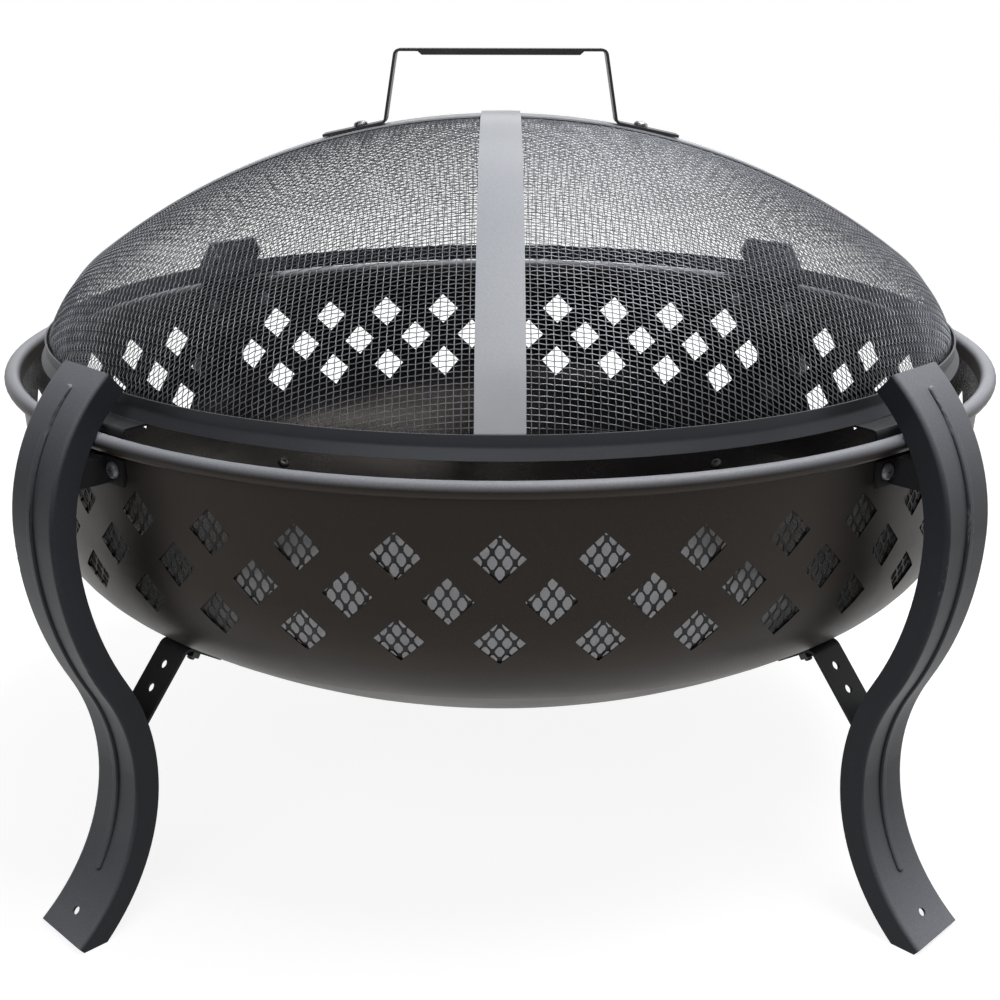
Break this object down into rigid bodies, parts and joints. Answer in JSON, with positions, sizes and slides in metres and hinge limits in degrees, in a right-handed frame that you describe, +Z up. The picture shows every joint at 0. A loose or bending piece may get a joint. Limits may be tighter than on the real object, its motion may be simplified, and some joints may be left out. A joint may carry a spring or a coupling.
{
  "type": "outdoor barbecue fireplace",
  "caption": "Round steel fire bowl with diamond cut-outs on four S-shaped legs, under a lift-off woven wire spark screen with crossing straps and a bent bar handle.",
  "frame": {"origin": "on the ground at the middle of the fire bowl, below the lowest point of the bowl", "axes": "+Z up; -Y towards the front, where the broad strap of the screen comes down between two legs; +X to the right as seen from the front"},
  "size_m": [0.7611, 0.7612, 0.5773],
  "materials": {
    "bowl_coat": "satin charcoal powder coat",
    "leg_coat": "satin slate grey powder coat",
    "bracket_coat": "satin charcoal powder coat",
    "liner_metal": "matt black heat-resistant paint on expanded steel",
    "screen_coat": "satin charcoal powder coat",
    "wire_coat": "matt black paint on woven steel wire",
    "strap_coat": "satin grey powder coat",
    "handle_coat": "satin charcoal powder coat",
    "fastener_zinc": "bright zinc plate"
  },
  "bodies": {
    "stand": {"bowl": "bowl_coat", "bowl_brace_back_left": "bracket_coat", "bowl_brace_back_right": "bracket_coat", "bowl_brace_front_left": "bracket_coat", "bowl_brace_front_right": "bracket_coat", "brace_bolts": "fastener_zinc", "brace_nuts": "fastener_zinc", "cutout_liner": "liner_metal", "leg_back_left": "leg_coat", "leg_back_right": "leg_coat", "leg_bolts": "fastener_zinc", "leg_front_left": "leg_coat", "leg_front_right": "leg_coat", "leg_nuts": "fastener_zinc", "leg_stirrup_back_left": "bracket_coat", "leg_stirrup_back_right": "bracket_coat", "leg_stirrup_front_left": "bracket_coat", "leg_stirrup_front_right": "bracket_coat", "screen_rest_back_left": "bracket_coat", "screen_rest_back_right": "bracket_coat", "screen_rest_front_left": "bracket_coat", "screen_rest_front_right": "bracket_coat"},
    "screen": {"screen_band": "screen_coat", "screen_mesh": "wire_coat", "strap_left_right": "strap_coat", "strap_front_back": "strap_coat", "handle": "handle_coat", "handle_bolts": "fastener_zinc", "handle_washers": "fastener_zinc", "handle_nuts": "fastener_zinc"}
  },
  "joints": [
    {"name": "screen_lift", "type": "slide", "parent": "stand", "child": "screen", "axis": [0, 0, 1], "range_m": [0, 0.3]}
  ]
}
